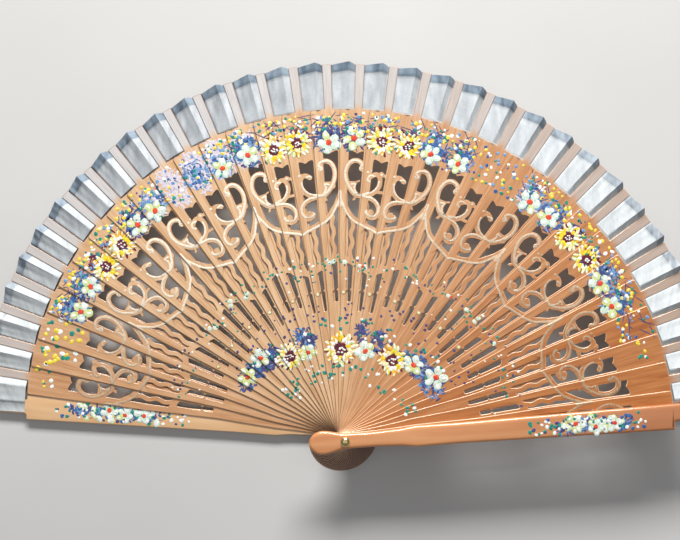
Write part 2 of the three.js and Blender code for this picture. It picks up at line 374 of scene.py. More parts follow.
def brass():
    """Polished brass, duller where it is worn."""
    material = new_material("rivet_brass", 0.24, metallic=1.0)
    place = add(material.node_tree, "ShaderNodeTexCoord").outputs["Object"]
    wear = noise(place, 900.0, 4.0)
    colour = shades(wear, 0.35, (196, 168, 104), 0.6, (240, 218, 158))
    feed(shader_of(material).inputs["Roughness"], map_range(wear, 0.3, 0.7, 0.34, 0.18))
    return finish(material, colour, noise(place, 2600.0, 2.0), 0.1, 0.00003)


def floor_material():
    material = new_material("floor", 0.85)
    cloud = noise(add(material.node_tree, "ShaderNodeTexCoord").outputs["Object"], 6.0, 2.0)
    colour = ramp(cloud, [(0.3, (0.56, 0.55, 0.54)), (0.7, (0.6, 0.595, 0.585))])
    return finish(material, colour)


# ---- places on the fan ----
def fan_place(turn, radius):
    """Across and up, at an angle to the left of straight up and a distance from the rivet."""
    angle = np.radians(turn)
    return -radius * np.sin(angle), radius * np.cos(angle)


def spun(x, y, angle):
    """A place turned to the left about the rivet, by an angle in radians."""
    return x * math.cos(angle) - y * math.sin(angle), x * math.sin(angle) + y * math.cos(angle)


def beside(place, away, direction):
    """The place at a distance from another, with the direction in radians."""
    return place[0] + away * math.cos(direction), place[1] + away * math.sin(direction)


# ---- outlines ----
HEAD_PROFILE = [
    (-HEAD_REACH, 0.0), (-19.7, 1.7), (-18.6, 3.6), (-17.3, 4.9), (-15.8, 5.8), (-13.9, 6.4),
    (-12, 6.5), (-9.8, 6.35), (-7.6, 5.9), (-5, 5.2), (-2.5, 4.5), (1, 4.2), (4, 4.1),
]
STICK_PROFILE = HEAD_PROFILE + [
    (17, 4.2), (25, 4.4), (31, 4.7), (39, 5.2), (56, 5.3), (73, 5.4), (92, 6.4), (112, 7.6),
    (SHOULDER_RADIUS - 1.2, 10.1), (SHOULDER_RADIUS - 0.4, 9.9), (SHOULDER_RADIUS, 9.2),
]
RIB_HALF_ANGLE = 0.7
RIB_TIP = FAN_RADIUS - 2


def half_width(distance):
    places, halves = zip(*STICK_PROFILE)
    return np.interp(distance, places, halves)


def edge_angle(radius):
    """The angle from a stick's centre line to its left edge, at some distance from the rivet."""
    return np.degrees(np.arcsin(half_width(radius) / radius))


def stick_outline():
    foot, tip = SHOULDER_RADIUS + 0.6, RIB_TIP
    slope = math.tan(math.radians(RIB_HALF_ANGLE))
    right = [(half, along) for along, half in STICK_PROFILE]
    right += [(foot * slope, foot), (tip * slope, tip)]
    left = [(-across, along) for across, along in reversed(right) if across > 0]
    return np.array(right + left)


def circle(radius):
    turns = np.linspace(0, 2 * math.pi, 28, endpoint=False)
    return radius * np.column_stack([np.cos(turns), np.sin(turns)])


# ---- the pierced pattern ----
# Four kinds of stick follow each other round the fan: A, B, the mirror image C of B and the mirror
# image D of A. Scrolls are drawn over the half repeat A, B as (angle clockwise from the left edge of A,
# radius), and a place on a stick is counted in the same way from the stick's own left edge.
TYPES = "ABCD"
WINDOW = (1.85, 4.8)  # the window's sides, as angles
WINDOW_TOP = {"A": 157.7, "B": 153.4, "C": 153.4, "D": 157.7}
TOOTH_OFFSET = 0.2  # degrees from the window's middle to the tooth in its top edge
TOOTH_HALF = 1.3  # half the tooth's width in degrees
TOOTH_DEPTH = 1.9
SLOT = (2.45, 4.25)  # the slot's sides, as angles
SLOT_END = {"A": 75.9, "B": 70.9, "C": 70.9, "D": 75.9}
NUB_RADIUS = 82.5  # how far the bumps in the slots' sides lie from the rivet
NUB_SIZE = 0.75
BAND_HALF = 1.9  # half the width of the solid band between slot and window
BAR_MIDDLE = 3.45
BAR_HALF = 1.35
MIRROR = 0.3  # twice how far the mirror lines lie inside the left edges of A and C

LONG_ARC = [
    (-0.4, 138.4), (0.2, 134.9), (0.9, 130.6), (1.84, 127.1), (2.5, 124.8), (3.3, 122.7), (4.3, 121.1),
    (5.35, 120), (7.35, 118.1), (8.9, 117.1), (9.8, 116.3), (11.2, 115),
]
C_SCROLL = [
    (4.85, 151.9), (4.2, 153.6), (3.4, 154.2), (2.6, 153.7), (1.9, 152.1), (1.45, 149.6), (1.3, 146.7),
    (1.5, 143.6), (2.0, 140.4), (2.65, 137.8), (3.45, 135.8), (4.3, 134.9), (5.2, 134.8),
]
S_CURVE = [
    (5.6, 135), (6.5, 135.4), (7.25, 136), (7.93, 137.2), (8.6, 139.2), (8.99, 141.6), (8.96, 144.2),
    (8.65, 146.2), (8.02, 147.3), (7.35, 146.8), (6.8, 145.8),
]
SPIRAL = [
    (6.2, 134.4), (7.2, 133.8), (8.2, 132.8), (9.1, 131), (9.62, 128.4), (9.6, 125.7), (9.2, 123.9),
    (8.3, 123.1), (7.4, 123.7), (6.8, 125),
]
LEAF_TIP = [(3.4, 141.3), (3.75, 142.3), (4.4, 143)]
LEAF_EDGE = [(3.6, 141.7), (3.35, 139.8), (3.6, 137.4), (4.2, 135.7)]
LEAF_BODY = [(1.9, 140.3), (3.0, 140.1)]
LEAF_TOP = [(1.8, 142.1), (3.5, 142.1)]
UNDER_NUB = [(3.9, 134.6), (3.45, 132.8)]
NUB_TIP = [(3.25, 132.4), (3.7, 132.7)]
BULB_LINK = [(8.9, 147.5), (9.5, 147.2), (10.4, 146.8)]
CROSS_LINK = [(7.2, 136.4), (8.4, 137.5), (10.2, 137.7)]
STROKES = [
    (LONG_ARC, 1.6), (C_SCROLL, 1.45), (S_CURVE, 1.4), (SPIRAL, 1.35), (LEAF_TIP, 0.6), (LEAF_EDGE, 0.85),
    (LEAF_BODY, 1.9), (LEAF_TOP, 0.7), (UNDER_NUB, 0.7), (NUB_TIP, 0.5), (BULB_LINK, 1.0), (CROSS_LINK, 0.9),
]
BLOBS = [((4.75, 149.9), 1.8), ((9.05, 147.5), 1.7), ((7.9, 126), 1.9), ((7.1, 125.8), 1.2)]
BAR_WAVES = [(0.0, 0.35), (5.0, -0.3), (10.0, 0.4), (14.5, -0.25), (19.0, 0.3), (23.0, -0.1)]
# where the left edge of each kind lies in the half repeat; the mirrored kinds run back from there
PATTERN_START = {"A": 0.0, "B": STICK_GAP, "C": 2 * STICK_GAP + MIRROR, "D": STICK_GAP + MIRROR}


def side_of(kind):
    """-1 for the mirrored kinds of stick."""
    return -1 if kind in "CD" else 1


def to_stick(kind, across):
    """From an angle in the half repeat to the angle from this stick's own left edge."""
    return side_of(kind) * (across - PATTERN_START[kind])


def to_pattern(kind, angle):
    """From the angle from this stick's own left edge to an angle in the half repeat."""
    return side_of(kind) * angle + PATTERN_START[kind]


PATH_STEP = 0.6


def smooth_path(points):
    """A Catmull-Rom curve through the points, which it meets in order."""
    points = np.asarray(points, float)
    ends = [2 * points[0] - points[1]], [2 * points[-1] - points[-2]]
    padded = np.vstack([ends[0], points, ends[1]])
    path = []
    for before, start, end, after in zip(padded, padded[1:], padded[2:], padded[3:]):
        count = max(2, int(np.hypot(*((end - start) * (2.5, 1))) / PATH_STEP))
        for share in np.arange(count) / count:
            square, cube = share**2, share**3
            path.append(0.5 * (
                2 * start + (end - before) * share
                + (2 * before - 5 * start + 4 * end - after) * square
                + (3 * start - before - 3 * end + after) * cube
            ))
    path.append(points[-1])
    return np.array(path)


def on_stick(kind, path):
    """A path of the half repeat as across and along on this kind of stick."""
    across, radius = path.T
    return np.column_stack(fan_place(edge_angle(radius) - to_stick(kind, across), radius))


# The openings are drawn on a grid over one upright stick. ANGLE is counted from its left edge.
STEP = 0.2
GRID_X = np.arange(-11.0, 11.0 + STEP / 2, STEP)
GRID_Y = np.arange(18.0, 184.0 + STEP / 2, STEP)
ACROSS, ALONG = np.meshgrid(GRID_X, GRID_Y)
RADIUS = np.hypot(ACROSS, ALONG)
ANGLE = edge_angle(RADIUS) - np.degrees(np.arctan2(-ACROSS, ALONG))


def new_field():
    """A field in which nothing has been drawn: every grid point lies far outside."""
    return np.full(ACROSS.shape, -50.0)


def draw_line(field, points, half):
    """Raises the field to how far each grid point lies inside a line of this half width."""
    reach = half + 1.0
    for start, end in zip(points, points[1:]):
        low, high = np.minimum(start, end) - reach, np.maximum(start, end) + reach
        columns = slice(*np.searchsorted(GRID_X, [low[0], high[0]]))
        rows = slice(*np.searchsorted(GRID_Y, [low[1], high[1]]))
        x, y = ACROSS[rows, columns] - start[0], ALONG[rows, columns] - start[1]
        if not x.size:
            continue
        run = end - start
        share = np.clip((x * run[0] + y * run[1]) / max(run @ run, 1e-9), 0, 1)
        inside = half - np.hypot(x - share * run[0], y - share * run[1])
        field[rows, columns] = np.maximum(field[rows, columns], inside)


def drawn_on(kind, lines, spots):
    """How far each grid point lies inside the half repeat's lines and spots on this kind of stick."""
    field = new_field()
    for points, half in lines:
        draw_line(field, on_stick(kind, smooth_path(points)), half)
    for place, size in spots:
        draw_line(field, on_stick(kind, np.array([place, place])), size)
    return field


def hollow_min(*fields):
    """The smaller of the fields, with the inner corners rounded a little."""
    soft = 0.35
    total = sum(np.exp(-np.clip(field, -8, 8) / soft) for field in fields)
    return -soft * np.log(total)


def band_radius(kind, angle):
    """How far the solid band's middle lies from the rivet."""
    return 101.3 - 0.85 * to_pattern(kind, angle)


def window_field(kind):
    """How far each grid point lies inside this kind of stick's window and slot."""
    to_mm = RADIUS * math.radians(1)
    band = band_radius(kind, ANGLE)
    offset = (ANGLE - sum(WINDOW) / 2) * side_of(kind)
    beside_tooth = np.minimum(1, np.abs(offset - TOOTH_OFFSET) / TOOTH_HALF) ** 0.7
    top = WINDOW_TOP[kind] + TOOTH_DEPTH * beside_tooth
    sides = (ANGLE - WINDOW[0]) * to_mm, (WINDOW[1] - ANGLE) * to_mm
    upper = hollow_min(*sides, RADIUS - band - BAND_HALF, top - RADIUS)
    sides = (ANGLE - SLOT[0]) * to_mm, (SLOT[1] - ANGLE) * to_mm
    slot = hollow_min(*sides, RADIUS - SLOT_END[kind], band - BAND_HALF - RADIUS)
    for side in sides:
        slot = np.minimum(slot, np.hypot(side, RADIUS - NUB_RADIUS) - NUB_SIZE)
    return upper, slot


def bar_path(kind):
    """The middle of the wavy bar that stands on the solid band."""
    foot = float(band_radius(kind, BAR_MIDDLE)) + 0.5
    points = []
    for rise, sway in BAR_WAVES:
        radius = foot + rise
        points.append(fan_place(edge_angle(radius) - BAR_MIDDLE - side_of(kind) * sway, radius))
    return smooth_path(points)


def wood_field(kind):
    """Above 0 where this kind of stick is solid wood, inside its outline."""
    window, slot = window_field(kind)
    bar = new_field()
    draw_line(bar, bar_path(kind), BAR_HALF)
    arc = on_stick(kind, smooth_path(LONG_ARC))
    arc_height = np.interp(ACROSS, *arc[np.argsort(arc[:, 0])].T)
    bar = np.minimum(bar, arc_height - ALONG)
    solid = np.maximum(drawn_on(kind, STROKES, BLOBS), bar)
    return -np.maximum(np.minimum(window, -solid), slot)


# ---- outlines from fields ----
def contours(field):
    """The closed lines where a grid field crosses 0, with the side above 0 on the left."""
    inside = field > 0
    code = inside[:-1, :-1] * 1 + inside[:-1, 1:] * 2 + inside[1:, 1:] * 4 + inside[1:, :-1] * 8
    # for each code, the cell's edges that a line joins: 0 below, 1 right, 2 above, 3 left
    turns = {
        1: [(3, 0)], 2: [(0, 1)], 3: [(3, 1)], 4: [(1, 2)], 5: [(3, 0), (1, 2)], 6: [(0, 2)], 7: [(3, 2)],
        8: [(2, 3)], 9: [(2, 0)], 10: [(0, 1), (2, 3)], 11: [(2, 1)], 12: [(1, 3)], 13: [(1, 0)],
        14: [(0, 3)],
    }
    follow = {}
    for row, column in np.argwhere((code > 0) & (code < 15)).tolist():
        edges = (row, column, 0), (row, column + 1, 1), (row + 1, column, 0), (row, column, 1)
        for start, end in turns[int(code[row, column])]:
            follow[edges[end]] = edges[start]

    def crossing(edge):
        row, column, upright = edge
        here = field[row, column]
        there = field[row + 1, column] if upright else field[row, column + 1]
        share = here / (here - there)
        x = GRID_X[column] + (0 if upright else share * STEP)
        y = GRID_Y[row] + (share * STEP if upright else 0)
        return x, y

    loops = []
    while follow:
        first, edge = follow.popitem()
        loop = [crossing(first)]
        while edge != first and edge in follow:
            loop.append(crossing(edge))
            edge = follow.pop(edge)
        if edge == first and len(loop) > 5:
            loops.append(np.array(loop))
    return loops


def area_of(loop):
    x, y = loop[:, 0], loop[:, 1]
    return 0.5 * float(np.sum(x * np.roll(y, -1) - y * np.roll(x, -1)))


def thinned(loop, slack):
    """The loop with the points left out that lie within slack of the line between those kept."""
    far = int(np.argmax(np.hypot(*(loop - loop[0]).T)))
    keep = np.zeros(len(loop), bool)
    keep[[0, far]] = True
    stack = [(0, far), (far, len(loop))]
    ring = np.vstack([loop, loop[:1]])
    while stack:
        start, end = stack.pop()
        if end - start < 2:
            continue
        run = ring[end] - ring[start]
        rest = ring[start + 1:end] - ring[start]
        length = max(math.hypot(*run), 1e-9)
        away = np.abs(run[0] * rest[:, 1] - run[1] * rest[:, 0]) / length
        worst = int(np.argmax(away))
        if away[worst] > slack:
            middle = start + 1 + worst
            keep[middle] = True
            stack += [(start, middle), (middle, end)]
    return loop[keep]


def inset(ring, distance):
    """The ring moved to its left by a distance, which is into the solid for outlines and holes."""
    forward = np.roll(ring, -1, axis=0) - ring
    forward /= np.maximum(np.hypot(*forward.T), 1e-9)[:, None]
    normals = np.column_stack([-forward[:, 1], forward[:, 0]])
    both = normals + np.roll(normals, 1, axis=0)
    length = np.maximum(np.hypot(*both.T), 0.9)
    return ring + both * (2 * distance / length**2)[:, None]


OUTLINE_SLACK = 0.02  # how far a point has to lie off the line to be kept
HOLE_EASE = 0.25  # the most that a hole's edge is drawn in


def wall(lower, upper, count):
    """The faces between two rings of count points, from where each ring's points start."""
    following = [(index, (index + 1) % count) for index in range(count)]
    return [(lower + here, lower + there, upper + there, upper + here) for here, there in following]


def plate(loops, levels):
    """A flat solid: the first loop is its outline and the rest are holes.

    The levels go upwards, each a height and how far the edges are drawn in there. The faces come
    back with 0 for the flats and 1 for the edges.
    """
    rings = [
        ring if (area_of(ring) > 0) == (index == 0) else ring[::-1] for index, ring in enumerate(loops)
    ]
    flat = np.vstack(rings)
    count = len(flat)
    top = (len(levels) - 1) * count
    faces = []
    for corners in tessellate_polygon([[Vector((x, y, 0)) for x, y in ring] for ring in rings]):
        if area_of(flat[list(corners)]) < 0:
            corners = corners[0], corners[2], corners[1]
        faces.append(tuple(corner + top for corner in corners))
        faces.append(tuple(reversed(corners)))
    which = [0] * len(faces)
    start = 0
    for _ in levels[1:]:
        for ring in rings:
            faces += wall(start, start + count, len(ring))
            start += len(ring)
    layers = []
    for z, drawn_in in levels:
        moved = [inset(rings[0], drawn_in)] + [inset(ring, min(drawn_in, HOLE_EASE)) for ring in rings[1:]]
        layers.append(np.column_stack([np.vstack(moved), np.full(count, z)]))
    which += [1] * (len(faces) - len(which))
    return np.vstack(layers), faces, which


LATHE_SIDES = 48


def lathe(profile, closed=False):
    """A turned solid from (radius, height) points, upwards on the outside."""
    turns = np.linspace(0, 2 * math.pi, LATHE_SIDES, endpoint=False)
    points = [(r * math.cos(turn), r * math.sin(turn), z) for r, z in profile for turn in turns]
    faces = []
    rows = len(profile)
    for row in range(rows if closed else rows - 1):
        faces += wall(row * LATHE_SIDES, (row + 1) % rows * LATHE_SIDES, LATHE_SIDES)
    return np.array(points), faces


# ---- making objects ----
def turned(points, turn):
    x, y = spun(points[:, 0], points[:, 1], math.radians(turn))
    return np.column_stack([x, y, points[:, 2]])


def make_object(name, points, faces, materials, which=None, grain=None, tone=None, crease=None):
    """A mesh object from points in millimetres. The grain is each point's place in its material."""
    mesh = bpy.data.meshes.new(name)
    mesh.from_pydata((np.asarray(points) * MM).tolist(), [], faces)
    for material in materials:
        mesh.materials.append(material)
    if which is not None:
        mesh.polygons.foreach_set("material_index", which)
    attribute = mesh.attributes.new("grain", "FLOAT_VECTOR", "POINT")
    places = points if grain is None else grain
    attribute.data.foreach_set("vector", np.asarray(places, np.float32).ravel())
    if tone is not None:
        attribute = mesh.attributes.new("tone", "FLOAT", "POINT")
        attribute.data.foreach_set("value", np.full(len(points), tone, np.float32))
    if crease is not None:
        mesh.shade_smooth()
        mesh.set_sharp_from_angle(angle=math.radians(crease))
    mesh.update()
    piece = bpy.data.objects.new(name, mesh)
    bpy.context.collection.objects.link(piece)
    return piece


# ---- sticks ----
STICK_LEVELS = [(0.0, 0.06), (0.08, 0.0), (STICK_THICKNESS - 0.16, 0.0), (STICK_THICKNESS, 0.22)]


def stick_turn(number):
    return OPEN_ANGLE / 2 - FIRST_GAP - (number - 1) * STICK_GAP


def stick_kind(number):
    return TYPES[(number - 1) % len(TYPES)]


def rightward(number):
    """0 for a stick at the fan's middle, and 1 for one near its right end."""
    return (number - 14) / 17


def stick_tone(number):
    """0 for the pale sticks left of the middle, 1 for the tan ones on the right."""
    spread = random.Random(number).uniform(-0.1, 0.1)
    return min(max(rightward(number) + spread, (7 - number) * 0.08, 0), 1)


def stick_plates(fields):
    """The plate of each kind of stick, drawn along +Y with its underside at height 0."""
    plates = {}
    for kind in TYPES:
        holes = [thinned(loop, OUTLINE_SLACK) for loop in contours(-fields[kind]) if area_of(loop) > 0.3]
        plates[kind] = plate([stick_outline(), circle(HOLE_RADIUS), *holes], STICK_LEVELS)
    return plates


def make_sticks(plates, materials):
    chance = random.Random(7)
    for number, node in enumerate(STICKS, 1):
        points, faces, which = plates[stick_kind(number)]
        shift = (chance.uniform(0, 400), 0, chance.uniform(0, 50))
        placed = turned(points, stick_turn(number)) + (0, 0, height(node, 0))
        piece = make_object(
            "pierced_" + node, placed, faces, materials, which, points + shift, stick_tone(number)
        )
        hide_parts(node)
        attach(piece, node)


# ---- guards ----
GUARD_PROFILE = HEAD_PROFILE[:-1] + [(4, 4.1), (17, 4.1), (31, 4.8), (39, 5.9), (63, 5.75), (181.3, 7.3)]
GUARD_ROUND = {"back_guard": (0.7, 0.6), "front_guard": (1.9, 1.3)}  # how far across and down
TIP_HALF_WIDTH = 3.9
GUARD_TURN = {"back_guard": OPEN_ANGLE / 2, "front_guard": -OPEN_ANGLE / 2}
TIP_STEP = 1.4  # how much slimmer the front guard's tip is on its right


def guard_outline(slim_left):
    """The guard's outline along +Y, with its tip slimmed on the right, or on both sides."""
    wide = [(half, along) for along, half in GUARD_PROFILE]
    last = wide[-1][0]
    slim = TIP_HALF_WIDTH - (0 if slim_left else TIP_STEP)
    right = [
        (last - 0.4, SHOULDER_RADIUS), (slim + 0.3, SHOULDER_RADIUS + 0.4), (slim, SHOULDER_RADIUS + 1.2),
        (slim, FAN_RADIUS - 2), (slim - 0.6, FAN_RADIUS - 0.5), (slim - 1.6, FAN_RADIUS),
    ]
    left = [(-last, FAN_RADIUS - 2.2), (-last + 0.6, FAN_RADIUS - 0.6), (-last + 2, FAN_RADIUS)]
    if slim_left:
        left = [(-across, along) for across, along in right]
    return np.array(wide + right + left[::-1] + [(-across, along) for across, along in reversed(wide[1:])])


def guard_levels(node):
    """The bottom edge eased a little and the top edge rounded over."""
    low, high = height(node, 0), height(node, 1)
    across, down = GUARD_ROUND[node]
    levels = [(low, 0.25), (low + 0.25, 0.0)]
    for turn in np.radians([0, 18, 36, 54, 72, 90]):
        levels.append((high - down * (1 - math.sin(turn)), across * (1 - math.cos(turn))))
    return levels


def make_guards(material):
    for node, turn in GUARD_TURN.items():
        outline = guard_outline(node == "back_guard")
        points, faces, _ = plate([outline, circle(HOLE_RADIUS)], guard_levels(node))
        piece = make_object(
            "rounded_" + node, turned(points, turn), faces, [material], grain=points + (60, 0, 0),
            tone=float(node == "front_guard"), crease=30,
        )
        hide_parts(node)
        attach(piece, node)


# ---- rivet and washers ----
PIN_RADIUS = 1.5
HEAD_RADIUS = round(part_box("rivet")[1][0] / MM, 2)
TAIL_RADIUS = 2.0
WASHER_RADIUS = 2.7


def make_rivet(material):
    low, high = height("rivet", 0), height("rivet", 1)
    under_head = height("front_washer", 1)
    over_tail = height("back_washer", 0)
    profile = [(0, low), (TAIL_RADIUS - 0.9, low), (TAIL_RADIUS - 0.3, low + 0.1)]
    profile += [(TAIL_RADIUS, over_tail - 0.15), (TAIL_RADIUS, over_tail), (PIN_RADIUS, over_tail)]
    profile += [(PIN_RADIUS, under_head), (HEAD_RADIUS - 0.1, under_head)]
    rim = under_head + 0.15
    for turn in np.radians([0, 15, 30, 45, 60, 75]):
        profile.append((HEAD_RADIUS * math.cos(turn), rim + (high - rim) * math.sin(turn)))
    profile.append((0, high))
    shapes = {"rivet": lathe(profile)}
    for node in ("front_washer", "back_washer"):
        low, high = height(node, 0), height(node, 1)
        ring = [(HOLE_RADIUS, low), (WASHER_RADIUS - 0.1, low), (WASHER_RADIUS, low + 0.08)]
        ring += [(WASHER_RADIUS, high - 0.1), (WASHER_RADIUS - 0.1, high), (HOLE_RADIUS, high)]
        shapes[node] = lathe(ring, closed=True)
    for node, (points, faces) in shapes.items():
        piece = make_object("turned_" + node, points, faces, [material], crease=35)
        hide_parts(node)
        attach(piece, "back_guard")


# ---- pleated leaf ----
LEAF_START = SHOULDER_RADIUS + 1.2
LEAF_END = FAN_RADIUS - 1
LEAF_THICKNESS = 0.12
LEAF_DROP = 0.125  # from a rib's underside to the middle of the cloth
HEM_START = 203.4
HEM_RAISE = 0.1
RIDGE_OFFSET = 1.75  # degrees from a rib's centre line to the ridge before it
PLEAT_HEIGHT = (1.6, 3.3)  # at the shoulders and at the edge
PUFF = 0.55  # how far the long slope swells up beside a rib
VALLEY_DIP = 1.4  # how much nearer the rivet the cloth's edge lies beside a rib than at a ridge
GUARD_OVERLAP = 1.7  # degrees that the cloth goes on beyond the front guard's centre line
RADII = [
    LEAF_START, 184.4, 186, 188, 190.5, 193, 196, 199, 201.5, HEM_START - 0.2, HEM_START, 205.6, LEAF_END,
]
RIB_HOLD = RIB_HALF_ANGLE + 0.03  # degrees from a rib's centre line to where the cloth leaves it
SLOPE_SHARES = [0, 0.02, 0.05, 0.1, 0.18, 0.28, 0.4, 0.52, 0.64, 0.75, 0.85, 0.93, 1]
SLOPE_POWER = 1.5  # makes the slope of a pleat hollow


def cloth_level(number):
    """The height of the cloth where stick number holds it; 0 and STICK_COUNT + 1 are the guards."""
    if number > STICK_COUNT:
        return height("front_guard", 0) - LEAF_DROP
    return height(STICKS[max(number, 1) - 1], 0) - LEAF_DROP


def rib_turn(number):
    if number == 0:
        return OPEN_ANGLE / 2
    if number > STICK_COUNT:
        return -OPEN_ANGLE / 2
    return stick_turn(number)


def painted_cloth_light(number):
    """0 for the cloth left of the middle, painted cool grey as shade, and 1 for the cloth at both ends,
    painted whiter as light.
    """
    return min(max(rightward(number), (10 - number) * 0.1, 0), 1)


def pleat_columns(number):
    """Turn, level, share of the pleat's height and puff across the cloth from one rib to the next."""
    start, end = rib_turn(number), rib_turn(number + 1)
    low, high = cloth_level(number), cloth_level(number + 1)
    if number == STICK_COUNT:
        return [(start - share * (start - end + GUARD_OVERLAP), low + share * (high - low), 0, 0)
                for share in np.linspace(0, 1, 7)]
    columns = [(start, low, 0, 0)] if number else [(start + 0.9, low, 0, 0)]
    valley, ridge = start - RIB_HOLD, end + RIDGE_OFFSET
    for share in SLOPE_SHARES:
        puff = math.sin(min(share / 0.1, 1) * math.pi / 2) * (1 - share)
        rise = share**SLOPE_POWER
        columns.append((valley - share * (valley - ridge), low + rise * (high - low), rise, puff))
    for share in [0.25, 0.5, 0.75, 1]:
        columns.append((ridge - share * (RIDGE_OFFSET - RIB_HOLD), high, 1 - share, 0))
    columns.append((end, high, 0, 0))
    return columns


def pleat_points(number, columns):
    """The sheet's underside and then its top, with each point's place in the cloth."""
    points, grain = [], []
    for side in (-1, 1):
        for turn, level, fold, puff in columns:
            share = fold ** (1 / SLOPE_POWER)
            for radius in RADII:
                outward = (radius - LEAF_START) / (LEAF_END - LEAF_START)
                pleat = PLEAT_HEIGHT[0] + outward * (PLEAT_HEIGHT[1] - PLEAT_HEIGHT[0])
                sway = 0.12 * math.sin(radius * 0.55 + number * 1.9) * puff
                slack = 0.22 * outward * math.sin(14 * share + number) * math.sin(math.pi * share)
                z = level + fold * pleat + puff * (PUFF + 0.35 * outward + sway) + slack
                z += side * LEAF_THICKNESS / 2
                if side > 0 and radius >= HEM_START and puff + fold > 0.05:
                    z += HEM_RAISE
                points.append((*fan_place(turn, radius - VALLEY_DIP * outward**2 * (1 - share)), z))
                grain.append((-math.radians(turn) * radius, radius, fold))
    return np.array(points), np.array(grain)


def sheet_faces(columns, rows):
    """The faces of a thin closed sheet: its underside, its top and its rim."""
    def spot(side, column, row):
        return (side * columns + column) * rows + row

    faces = []
    for column in range(columns - 1):
        for row in range(rows - 1):
            corners = [(column, row), (column + 1, row), (column + 1, row + 1), (column, row + 1)]
            faces.append(tuple(spot(1, *corner) for corner in corners))
            faces.append(tuple(spot(0, *corner) for corner in reversed(corners)))
    rim = [(column, 0) for column in range(columns)]
    rim += [(columns - 1, row) for row in range(1, rows)]
    rim += [(column, rows - 1) for column in range(columns - 2, -1, -1)]
    rim += [(0, row) for row in range(rows - 2, 0, -1)]
    for here, there in zip(rim, rim[1:] + rim[:1]):
        faces.append((spot(0, *here), spot(0, *there), spot(1, *there), spot(1, *here)))
    return faces


def make_leaf(material):
    """One folded panel of cloth between each two ribs."""
    bodies = ["back_guard", *STICKS, "front_guard"]
    pieces = []
    for number, (body, after) in enumerate(zip(bodies, bodies[1:])):
        columns = pleat_columns(number)
        points, grain = pleat_points(number, columns)
        faces = sheet_faces(len(columns), len(RADII))
        piece = make_object(
            f"leaf_panel_{number + 1:02d}", points, faces, [material], grain=grain,
            tone=painted_cloth_light(number), crease=50,
        )
        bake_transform(piece)
        pieces.append(piece)
    for piece in pieces:
        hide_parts("leaf")


# ---- trim lines ----
SCROLL_LINE = [
    (4.42, 149.1), (4.04, 150.2), (4.7, 151.6), (4.44, 153.1), (3.78, 154), (2.97, 154.3), (2.23, 153.4),
    (1.6, 151.1), (1.25, 148.1), (1.26, 145.4), (1.58, 142.5), (2.3, 139.3), (3.14, 136.8), (4.14, 135.3),
    (4.95, 135.3), (6.14, 136.1), (7.43, 137.4), (8.12, 138.9), (8.54, 141), (8.7, 143.4),
]
SPIRAL_LINE = [
    (5.15, 135.1), (6.2, 134.5), (7.4, 134.3), (8.5, 133), (9.4, 130.9), (9.7, 128.6), (9.55, 126.1),
    (8.95, 124.6), (8.05, 124.2), (7.15, 124.6), (6.6, 126.1), (6.8, 126.9),
]
ARC_LINE = [
    (0.15, 134.4), (0.3, 132.7), (0.75, 130.5), (1.05, 128.8), (1.45, 126.9), (2.28, 123.6), (3.3, 121.6),
    (4.13, 120.3), (5.35, 119.1), (7.4, 117.5), (9.45, 116), (10.5, 114.8),
]
ARC_PATCH = [(0.1, 137), (0.12, 132.9), (0.15, 129.4)]
STILE_SCROLL = [(7.7, 144.8), (7.54, 146.1), (6.8, 146.5), (6.3, 145.4), (6.2, 143.7), (6.7, 142.9)]
LEAF_LINE = [(2.7, 141), (3.6, 141.3), (3.35, 139.6), (3.6, 137.4), (4.1, 135.8)]
SPOTS = [((9.05, 147.5), 0.7), ((6.1, 148), 0.75), ((6.9, 149), 0.6), ((4.75, 149.9), 0.55)]
TRIM_LINES = [
    (SCROLL_LINE, 0.7), (SPIRAL_LINE, 0.62), (ARC_LINE, 0.65), (ARC_PATCH, 1.0), (STILE_SCROLL, 0.55),
    (LEAF_LINE, 0.55),
]
TRIM_LEVELS = [(-0.02, 0.0), (0.05, 0.05), (0.09, 0.18)]


def trim_plates(fields):
    """The painted lines of each kind of stick, one small plate for each line, from height 0."""
    result = {}
    edge = half_width(RADIUS) - np.abs(ACROSS)
    for kind in TYPES:
        lines = np.minimum(drawn_on(kind, TRIM_LINES, SPOTS), fields[kind] - 0.15)
        lines = np.minimum(lines, edge - 0.25)
        loops = [thinned(loop, OUTLINE_SLACK) for loop in contours(lines)]
        result[kind] = joined([plate([loop], TRIM_LEVELS) for loop in loops if area_of(loop) > 0.25])
    return result


def joined(shapes):
    """Several shapes of points, faces and materials as one."""
    points, faces, which = [], [], []
    count = 0
    for shape_points, shape_faces, shape_which in shapes:
        points.append(shape_points)
        faces += [tuple(index + count for index in face) for face in shape_faces]
        which += list(shape_which)
        count += len(shape_points)
    return np.vstack(points), faces, which


def trim_tone(number):
    """0 for the cream lines in the middle, and up to 1 for the tan ones towards both ends."""
    return max(stick_tone(number), 0.12 * (8 - number), 0)


def make_trim(plates, material):
    for number, node in enumerate(STICKS, 1):
        points, faces, _ = plates[stick_kind(number)]
        placed = turned(points, stick_turn(number)) + (0, 0, height(node, 1))
        piece = make_object(
            "trim_" + node, placed, faces, [material], grain=points + (number * 31, 0, 0),
            tone=trim_tone(number), crease=60,
        )
        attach(piece, node)


# ---- flower painting ----
# A dab of paint is (paint, across, along, length, width, lean, layer). On the open fan across and along
# are measured from the rivet, and each dab is cut where one stick ends and the next begins.
LAYERS = [0.035, 0.06, 0.085, 0.115, 0.145]  # how far the dabs of each layer stand out
LAYER_SPREAD = 0.02  # how much more some stand out, so that dabs of one layer don't lie in one plane
SPREAD_STEPS = 17


def dab(dabs, colour, place, length, width, lean, layer):
    """One more dab, with its length along the lean, which is in radians."""
    dabs.append((colour, *place, length, width, lean, layer))


